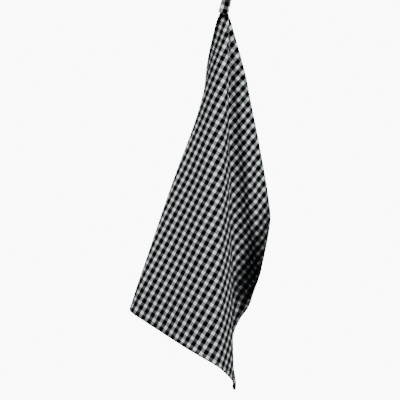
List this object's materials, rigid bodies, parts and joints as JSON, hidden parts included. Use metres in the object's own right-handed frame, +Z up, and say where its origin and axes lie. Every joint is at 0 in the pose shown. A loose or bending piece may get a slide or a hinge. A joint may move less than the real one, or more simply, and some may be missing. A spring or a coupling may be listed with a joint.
{
  "type": "tea towel",
  "caption": "Checked cotton tea towel with a sewn tape loop over one corner, hanging from that loop in long soft folds.",
  "frame": {"origin": "underside of the hanging loop's top, where it rests on a hook or peg", "axes": "+Z up; +Y away from the viewer, into the folds; +X to the viewer's right"},
  "size_m": [0.3155, 0.2548, 0.9032],
  "materials": {
    "gingham": "matte woven cotton, black and white checks",
    "loop_tape": "matte woven cotton, a folded strip of the same cloth"
  },
  "bodies": {
    "root": {"towel": "gingham", "hanging_loop": "loop_tape"}
  },
  "joints": []
}
